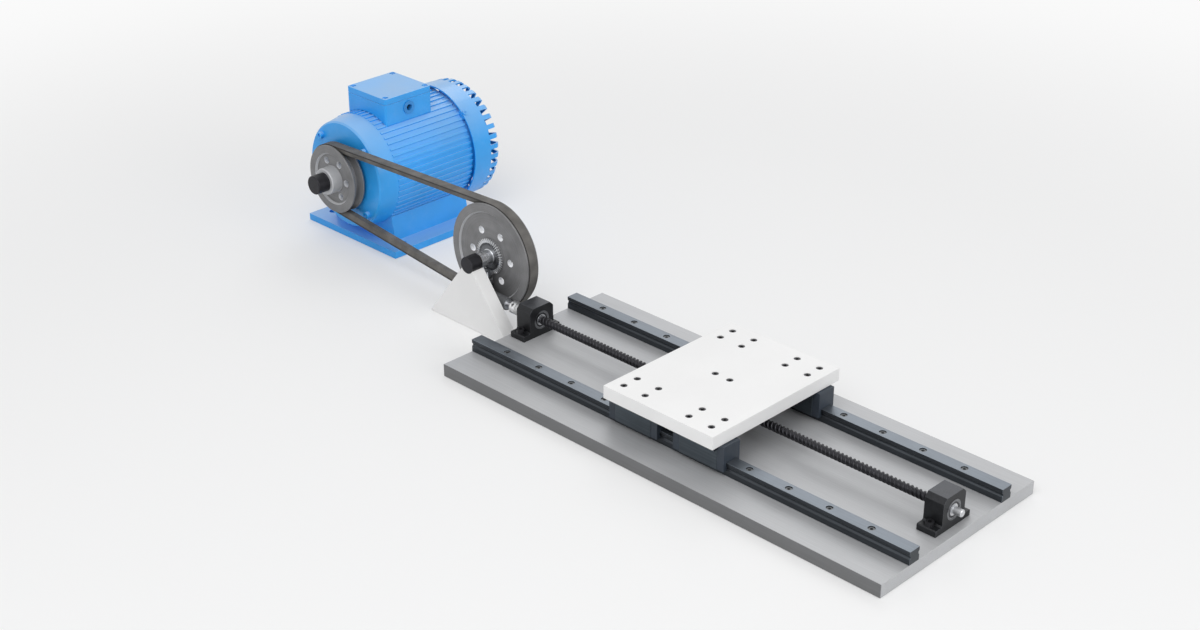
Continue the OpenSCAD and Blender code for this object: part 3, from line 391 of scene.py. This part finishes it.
aluminiumTurned = dict(brightTurned, colour=(0.78, 0.79, 0.8), rough=(0.28, 0.4))
copperWire = dict(
    darkTurned, colour=(0.42, 0.15, 0.05), lines=1700.0, bump=0.9, rough=(0.25, 0.4), wear=0.1,
)
darkScrew = dict(
    blackTurned, colour=(0.03, 0.03, 0.034), rough=(0.26, 0.38), metal=0.8,
    ends=threadedSpan, endColour=(0.6, 0.61, 0.63, 1),
)

# ground, milled and blackened looks
railGround = {
    "colour": (0.115, 0.135, 0.165), "deep": 0.82, "pale": 1.2, "lines": 900.0, "stretch": (0.02, 1, 1),
    "patch": 40.0, "wear": 0.8, "chip": 2.6, "metal": 0.8, "rough": (0.28, 0.42), "bump": 0.12,
}
milledGrey = {
    "colour": (0.48, 0.487, 0.5), "deep": 0.9, "pale": 1.08, "lines": 800.0, "stretch": (0.02, 1, 1),
    "patch": 14.0, "wear": 0.5, "chip": 1.25, "metal": 0.3, "rough": (0.46, 0.6), "bump": 0.12,
}
blackOxide = {
    "colour": (0.02, 0.02, 0.023), "deep": 0.8, "pale": 1.5, "lines": 500.0, "stretch": (1, 1, 1),
    "patch": 120.0, "wear": 0.6, "chip": 4.0, "metal": 0.5, "rough": (0.34, 0.5), "bump": 0.15,
}
laminated = {
    "colour": (0.3, 0.31, 0.33), "deep": 0.6, "pale": 1.2, "lines": 1500.0, "stretch": (0.02, 1, 0.02),
    "patch": 40.0, "wear": 0.1, "chip": 1.2, "metal": 0.8, "rough": (0.35, 0.5), "bump": 0.4,
}
# painted shade: the plate's long sides, and the rails and supports below their top face, are painted darker
milledPlate = dict(milledGrey, paintedSideShade=shadeAtSides(plateMiddle, plateReach, sideShadeSetup["plate"]))
railShadedBelowTop = dict(railGround, colour=(0.15, 0.17, 0.195), paintedSideShade=shadeBelowTop(railTop, sideShadeSetup["rail"]))
darkBlock = dict(railGround, colour=(0.085, 0.102, 0.118))
greyOxide = dict(blackOxide, colour=(0.11, 0.115, 0.12), chip=2.0)
castSupport = dict(
    blackOxide, colour=(0.05, 0.053, 0.06), paintedSideShade=shadeBelowTop(supportTop, sideShadeSetup["support"]))
keySteel = dict(milledGrey, metal=1.0, rough=(0.25, 0.35))

# moulded looks
# the belt's sides are painted darker than its middle: painted shade
beltCloth = {
    "colour": (0.108, 0.103, 0.097), "deep": 0.7, "pale": 1.5, "grain": 1500.0, "patch": 60.0,
    "wear": 0.8, "chip": 2.4, "rough": (0.62, 0.8), "bump": 0.5,
    "band": (beltMiddle, 0.0056), "bandShade": 0.3,
}
blackPlastic = {
    "colour": (0.02, 0.024, 0.03), "deep": 0.85, "pale": 1.25, "grain": 1400.0, "patch": 30.0,
    "wear": 0.4, "chip": 3.0, "rough": (0.4, 0.55), "bump": 0.12,
}
brownBoard = {
    "colour": (0.1, 0.045, 0.02), "deep": 0.8, "pale": 1.3, "grain": 900.0, "patch": 60.0,
    "wear": 0.2, "chip": 2.0, "rough": (0.35, 0.5), "bump": 0.1,
}
bluePlastic = dict(blackPlastic, colour=(0.03, 0.26, 0.66))
capPlastic = dict(blackPlastic, colour=(0.03, 0.04, 0.055))

# rings of another tone: from radius, to radius, colour, and whether only hole walls take it; on the
# bearings they are seals, on the pulleys and the bevel gear painted highlights and painted shade
# hole walls painted bright: painted glints
holeWallGlint = (0.82, 0.83, 0.85)
# a ring painted bright inside the rim: a painted highlight
rimHighlight = (0.6, 0.61, 0.63)
smallBearing = dict(brightTurned, zones=[(0.0041, 0.0053, (0.05, 0.05, 0.055), False)])
motorBearing = dict(brightTurned, zones=[(0.0168, 0.0215, (0.03, 0.03, 0.035), False)])
supportBearing = dict(brightTurned, zones=[
    (0.0063, 0.0088, (0.06, 0.06, 0.065), False), (0.0088, 0.05, (0.2, 0.205, 0.215), False)])
# the small pulley's pale hub is a painted highlight, with painted glints on its hole walls and a painted
# highlight ring at the rim
smallPulley = dict(pulleyTurned, zones=[
    (-0.001, 0.0173, (0.5, 0.51, 0.53), False), (0.0185, 0.0305, holeWallGlint, True),
    (0.0319, 0.0336, rimHighlight, False)])
# the large pulley's hole walls are painted glints and its rim ring a painted highlight
largePulley = dict(pulleyTurned, zones=[(0.026, 0.038, holeWallGlint, True), (0.0519, 0.0536, rimHighlight, False)])
# the bevel gear's dark inner ring is painted shade and its bright teeth ring a painted highlight
bevelTurned = dict(brightTurned, colour=(0.7, 0.71, 0.73), zones=[
    (0.0092, 0.0168, (0.17, 0.175, 0.185), False), (0.0168, 0.05, (0.72, 0.73, 0.75), False)])

finishOf = {
    "base_plate": brushedFinish("milledPlate", milledPlate),
    "bracket": brushedFinish("milledBracket", milledGrey),
    "rail": brushedFinish("groundRail", railShadedBelowTop),
    "block": brushedFinish("groundBlock", darkBlock),
    "screws": brushedFinish("blackScrews", blackOxide),
    "railScrews": brushedFinish("greyScrews", greyOxide),
    "support": brushedFinish("blackSupport", castSupport),
    "support_bearings": turnedFinish("supportBearing", supportBearing, screwLine, 0),
    "stand": paintFinish("whiteStand", satinWhite),
    "plate": paintFinish("whitePlate", dict(satinWhite, peel=900.0)),
    "sleeve": turnedFinish("blackSleeve", blackTurned, crossLine, 1),
    "bush": turnedFinish("bronzeBush", bronzeTurned, crossLine, 1),
    "housing": paintFinish("greyCasting", gearIron),
    "gearbox_bearings": turnedFinish("smallBearing", smallBearing, gearboxSpot, 2),
    "motor": paintFinish("blueCasting", motorBlue),
    "sheet": paintFinish("blueSheet", blueSheet),
    "paintedScrews": paintFinish("blueScrews", dict(motorBlue, wear=0.8)),
    "board": mouldedFinish("brownBoard", brownBoard),
    "studs": turnedFinish("brassStuds", brassTurned, motorLine, 2),
    "grommet": mouldedFinish("blueGrommet", bluePlastic),
    "stator_core": brushedFinish("laminatedCore", laminated),
    "windings": turnedFinish("copperWindings", copperWire, motorLine, 1),
    "motor_bearings": turnedFinish("motorBearing", motorBearing, motorLine, 1),
    "belt": mouldedFinish("beltCloth", beltCloth),
    "motor_shaft": turnedFinish("darkShaft", blackTurned, motorLine, 1),
    "fan": mouldedFinish("fanPlastic", blackPlastic),
    "motor_pulley": turnedFinish("smallPulleyIron", smallPulley, motorLine, 1),
    "driven_pulley": turnedFinish("largePulleyIron", largePulley, crossLine, 1),
    "key": brushedFinish("keySteel", keySteel),
    "cross": turnedFinish("brightCross", brightTurned, crossLine, 1),
    "bevel_gear": turnedFinish("bevelSteel", bevelTurned, crossLine, 1),
    "upright": turnedFinish("uprightSteel", brightTurned, uprightLine, 2),
    "uprightGears": turnedFinish("uprightGears", gearTurned, uprightLine, 2),
    "lead_screw": turnedFinish("darkScrew", darkScrew, screwLine, 0),
    "output": turnedFinish("outputSteel", brightTurned, screwLine, 0),
    "outputGear": turnedFinish("outputGear", gearTurned, screwLine, 0),
    "coupling": turnedFinish("couplingAluminium", aluminiumTurned, screwLine, 0),
    "cap": mouldedFinish("endCapPlastic", capPlastic),
    "nutSteel": turnedFinish("nutSteel", gearTurned, screwLine, 0),
}
finishFor = {
    "base_plate": "base_plate", "rail_front": "rail", "rail_rear": "rail", "rail_screws": "railScrews",
    "fixed_support": "support", "floating_support": "support", "support_bearings": "support_bearings",
    "support_screws": "screws", "bearing_stand": "stand", "stand_sleeve": "sleeve", "stand_bush": "bush",
    "gear_housing": "housing", "gear_housing_cap": "housing", "housing_screws": "screws",
    "gearbox_bearings": "gearbox_bearings", "motor_frame": "motor", "front_shield": "motor",
    "rear_shield": "motor", "shield_screws": "paintedScrews", "fan_cowl": "sheet",
    "cover_screws": "paintedScrews", "terminal_box": "motor", "terminal_box_lid": "motor",
    "terminal_board": "board", "terminal_studs": "studs", "cable_grommet": "grommet",
    "stator_core": "stator_core", "stator_windings": "windings", "motor_bearings": "motor_bearings",
    "drive_belt": "belt",
    "motor_shaft": "motor_shaft", "rotor_core": "stator_core", "cooling_fan": "fan",
    "motor_pulley": "motor_pulley", "motor_key": "key", "cross_shaft": "cross",
    "driven_pulley": "driven_pulley", "pulley_key": "key", "bevel_gear": "bevel_gear",
    "pulley_retainer": "screws", "upright_shaft": "upright", "upright_pinion": "uprightGears",
    "upright_mitre_gear": "uprightGears", "lead_screw": "lead_screw", "output_shaft": "output",
    "output_mitre_gear": "outputGear", "shaft_coupling": "coupling", "coupling_screws": "screws",
    "lock_nut": "nutSteel", "carriage_plate": "plate", "block_front_left": "block",
    "block_front_right": "block", "block_rear_left": "block", "block_rear_right": "block",
    "block_end_caps": "cap", "block_screws": "screws", "nut_bracket": "bracket",
    "screw_nut": "nutSteel", "nut_screws": "screws", "bracket_screws": "screws",
}
for name, obj in nodes.items():
    obj.data.materials.clear()
    obj.data.materials.append(finishOf[finishFor[name]])
print("finishes made:", len(finishOf))


# pieces with rounded edges, made from copies of the CAD solids
def isSharp(edge, angle):
    return len(edge.link_faces) == 2 and edge.calc_face_angle(0.0) > math.radians(angle)


def shadeEdges(form, angle):
    for face in form.faces:
        face.smooth = True
    for edge in form.edges:
        edge.smooth = not isSharp(edge, angle)


def settled(name, mesh, node):
    # the piece rides with its node's body and is shown in the node's place
    mesh.materials.clear()
    mesh.materials.append(finishOf[finishFor[node]])
    piece = newObject(name, mesh)
    weights = piece.modifiers.new("weights", "WEIGHTED_NORMAL")
    weights.keep_sharp = True
    weights.weight = 100  # the large faces' normals win
    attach(piece, bodyOf[node])
    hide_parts(node)


ribSetup = {"between": 0.0695, "raised": 0.0714, "tip": 0.073, "slack": 0.0002}


def outFromMotor(vert):
    return Vector((vert.co.x - motorLine[0], 0.0, vert.co.z - motorLine[2]))


def raiseBetweenRibs(form):
    # the casting's ribs stand lower in their finished form; the foot's own corners stay
    look = ribSetup
    for vert in [v for v in form.verts if abs(outFromMotor(v).length - look["between"]) < look["slack"]]:
        others = [edge.other_vert(vert) for edge in vert.link_edges]
        if all(outFromMotor(v).length < look["tip"] + look["slack"] for v in others):
            vert.co += outFromMotor(vert).normalized() * (look["raised"] - look["between"])


def sharpChains(form, angle):
    # sharp edges that meet at a corner belong to one chain
    form.edges.index_update()
    sharp = {e.index: e for e in form.edges if isSharp(e, angle)}
    chains = []
    while sharp:
        chain = [sharp.pop(next(iter(sharp)))]
        for edge in chain:  # the chain grows while it is walked
            for vert in edge.verts:
                chain += [sharp.pop(e.index) for e in vert.link_edges if e.index in sharp]
        chains.append(chain)
    return chains


def spreadOf(chain):
    spots = [vert.co for edge in chain for vert in edge.verts]
    return max(max(p[i] for p in spots) - min(p[i] for p in spots) for i in range(3))


# angles in degrees; no rounding is wider than the given share of its own chain of edges
softSetup = {
    "weld": 2e-6, "flat": 0.6, "sharp": 32.0, "share": 0.04, "segments": 2, "least": 1e-6, "smooth": 40,
}


def softened(name, width):
    look = softSetup
    mesh = nodes[name].data.copy()
    form = bmesh.new()
    form.from_mesh(mesh)
    bmesh.ops.remove_doubles(form, verts=form.verts, dist=look["weld"])
    bmesh.ops.dissolve_limit(
        form, angle_limit=math.radians(look["flat"]), verts=form.verts, edges=form.edges,
        use_dissolve_boundaries=False)
    # inner walls, where two joined lengths touch inside the belt
    walls = [face for face in form.faces if all(len(edge.link_faces) > 2 for edge in face.edges)]
    bmesh.ops.delete(form, geom=walls, context="FACES_ONLY")
    if name == "motor_frame":
        raiseBetweenRibs(form)
    # one chain at a time, so a small hole doesn't hold back a long edge
    for chain in sharpChains(form, look["sharp"]):
        chain = [edge for edge in chain if edge.is_valid]
        bmesh.ops.bevel(
            form, geom=chain, offset=min(width, look["share"] * spreadOf(chain)), offset_type="OFFSET",
            affect="EDGES", segments=look["segments"], profile=0.5, clamp_overlap=True, material=-1)
    bmesh.ops.dissolve_degenerate(form, dist=look["least"], edges=form.edges)
    shadeEdges(form, look["smooth"])
    form.to_mesh(mesh)
    form.free()
    settled(name + "Softened", mesh, name)


# how wide each piece's edges are rounded, in metres
softEdges = {
    "base_plate": 0.0006, "carriage_plate": 0.0006, "bearing_stand": 0.0008, "fixed_support": 0.0005,
    "floating_support": 0.0005, "drive_belt": 0.0006, "terminal_box": 0.0006, "terminal_box_lid": 0.0009,
    "motor_frame": 0.0004, "rail_front": 0.0003, "rail_rear": 0.0003, "block_front_left": 0.0004,
    "block_front_right": 0.0004, "block_rear_left": 0.0004, "block_rear_right": 0.0004,
    "nut_bracket": 0.0005, "gear_housing": 0.0004, "fan_cowl": 0.0003, "rear_shield": 0.0004,
    "cable_grommet": 0.0004, "motor_shaft": 0.0003, "driven_pulley": 0.0003, "motor_pulley": 0.0003,
    "shaft_coupling": 0.0002, "stand_sleeve": 0.0005,
}
for name, width in softEdges.items():
    softened(name, width)
print("softened:", len(softEdges))


# the lead screw, with its two-start thread cut
threadSetup = {
    "lead": 0.010, "starts": 2, "root": 0.0038, "crest": 0.00494, "rootFlat": 0.34, "flank": 0.17,
    "steps": 26, "journal": 0.004, "gap": 0.0003, "overlap": 0.001, "chamfer": 0.0007, "round": 40,
    "weld": 1e-6, "cut": 1e-7, "smooth": 35,
}


def profileAlongX(form, points, centre):
    verts = [form.verts.new((x, 0.0, centre + r)) for x, r in points]
    return verts + [form.edges.new(pair) for pair in zip(verts, verts[1:])]


def turnedAlongX(form, points, centre, steps):
    bmesh.ops.spin(
        form, geom=profileAlongX(form, points, centre), cent=(0, 0, centre), axis=(1, 0, 0),
        dvec=(0, 0, 0), angle=math.tau, steps=steps, use_merge=True)


def threadProfile(start):
    # one lead of the thread, root and crest in turn for each start
    look = threadSetup
    pitch = look["lead"] / look["starts"]
    levels = (
        (look["rootFlat"], "root"), (look["rootFlat"] + look["flank"], "crest"),
        (1.0 - look["flank"], "crest"), (1.0, "root"))
    points = [(0.0, look["root"])]
    for turn in range(look["starts"]):
        points += [(turn * pitch + share * pitch, look[level]) for share, level in levels]
    return [(start - look["lead"] + x, r) for x, r in points]


def threadedRod(form, start, end, centre):
    look = threadSetup
    turns = math.ceil((end - start) / look["lead"]) + 1
    bmesh.ops.spin(
        form, geom=profileAlongX(form, threadProfile(start), centre), cent=(0, 0, centre), axis=(1, 0, 0),
        dvec=(look["lead"] / look["steps"], 0, 0), angle=math.tau * turns, steps=look["steps"] * turns,
        use_merge=False)
    bmesh.ops.remove_doubles(form, verts=form.verts, dist=look["weld"])
    for cut, side in ((start, -1), (end, 1)):
        whole = form.verts[:] + form.edges[:] + form.faces[:]
        bmesh.ops.bisect_plane(
            form, geom=whole, dist=look["cut"], plane_co=(cut, 0, 0), plane_no=(side, 0, 0),
            clear_outer=True)
    rims = [e for e in form.edges if e.is_boundary]
    bmesh.ops.holes_fill(form, edges=rims, sides=0)


def addLeadScrew():
    look = threadSetup
    journal, overlap, chamfer = look["journal"], look["overlap"], look["chamfer"]
    low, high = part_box("lead_screw")
    centre = (low.z + high.z) / 2
    start = threadedSpan[0] + look["gap"]
    end = threadedSpan[1] - look["gap"]
    form = bmesh.new()
    threadedRod(form, start, end, centre)
    nearEnd = [(low.x, 0.0), (low.x, journal), (start + overlap, journal), (start + overlap, 0.0)]
    farEnd = [
        (end - overlap, 0.0), (end - overlap, journal), (high.x - chamfer, journal),
        (high.x, journal - chamfer), (high.x, 0.0)]
    for points in (nearEnd, farEnd):
        turnedAlongX(form, points, centre, look["round"])
    bmesh.ops.remove_doubles(form, verts=form.verts, dist=look["weld"])
    bmesh.ops.recalc_face_normals(form, faces=form.faces)
    mesh = bpy.data.meshes.new("leadScrewThreaded")
    shadeEdges(form, look["smooth"])
    form.to_mesh(mesh)
    form.free()
    settled("leadScrewThreaded", mesh, "lead_screw")


addLeadScrew()
print("lead screw threaded")

# the floor shows paler away from the axis, and keeps its shadow
floorSetup = {
    "size": 12.0, "drop": 0.0004, "colour": (0.9, 0.903, 0.906), "rough": 0.7, "shownAs": 0.96, "lift": 0.3,
    "middle": (-0.22, 0.04, 0.0), "fade": (0.6, 1.7), "glow": (1, 1, 1, 1),
}


def floorFinish():
    look = floorSetup
    material, tree, shader = newFinish("benchFloor")
    shader.inputs["Base Color"].default_value = (*look["colour"], 1.0)
    shader.inputs["Roughness"].default_value = look["rough"]
    away = put(tree, "VectorMath", {0: objectSpot(tree, (1, 1, 1), look["middle"])}, operation="LENGTH")
    spans = {"Value": away.outputs["Value"], "From Min": look["fade"][0], "From Max": look["fade"][1]}
    far = put(tree, "MapRange", spans, interpolation_type="SMOOTHSTEP").outputs[0]
    seen = put(tree, "LightPath").outputs["Is Camera Ray"]
    glow = put(tree, "Emission", {"Color": look["glow"], "Strength": look["shownAs"]}).outputs[0]
    share = figure(tree, "MULTIPLY", ramp(tree, far, 0.0, 1.0, look["lift"], 1.0), seen)
    mixed = put(tree, "MixShader", {0: share, 1: shader.outputs[0], 2: glow})
    tree.links.new(mixed.outputs[0], tree.nodes["Material Output"].inputs["Surface"])
    return material


def addFloor():
    form = bmesh.new()
    bmesh.ops.create_grid(form, x_segments=1, y_segments=1, size=floorSetup["size"] / 2)
    bmesh.ops.translate(form, verts=form.verts, vec=(0, 0, -floorSetup["drop"]))
    mesh = bpy.data.meshes.new("benchFloor")
    form.to_mesh(mesh)
    form.free()
    mesh.materials.append(floorFinish())
    floor = newObject("benchFloor", mesh)


# light from the world, and the paler level at which it is seen and mirrored
worldSetup = {"colour": (1.0, 1.0, 1.0, 1.0), "ambient": 0.5, "shownAs": 0.96}


def lightWorld():
    world = bpy.data.worlds.new("studio")
    bpy.context.scene.world = world
    world.use_nodes = True
    tree = world.node_tree
    back = tree.nodes["Background"]
    path = put(tree, "LightPath").outputs
    seen = figure(tree, "MAXIMUM", path["Is Camera Ray"], path["Is Glossy Ray"])
    seen = figure(tree, "MAXIMUM", seen, path["Is Transmission Ray"])
    level = ramp(tree, seen, 0.0, 1.0, worldSetup["ambient"], worldSetup["shownAs"])
    back.inputs["Color"].default_value = worldSetup["colour"]
    tree.links.new(level, back.inputs["Strength"])


addFloor()
lightWorld()
bpy.context.scene.view_settings.view_transform = "Standard"
print("floor and world set")

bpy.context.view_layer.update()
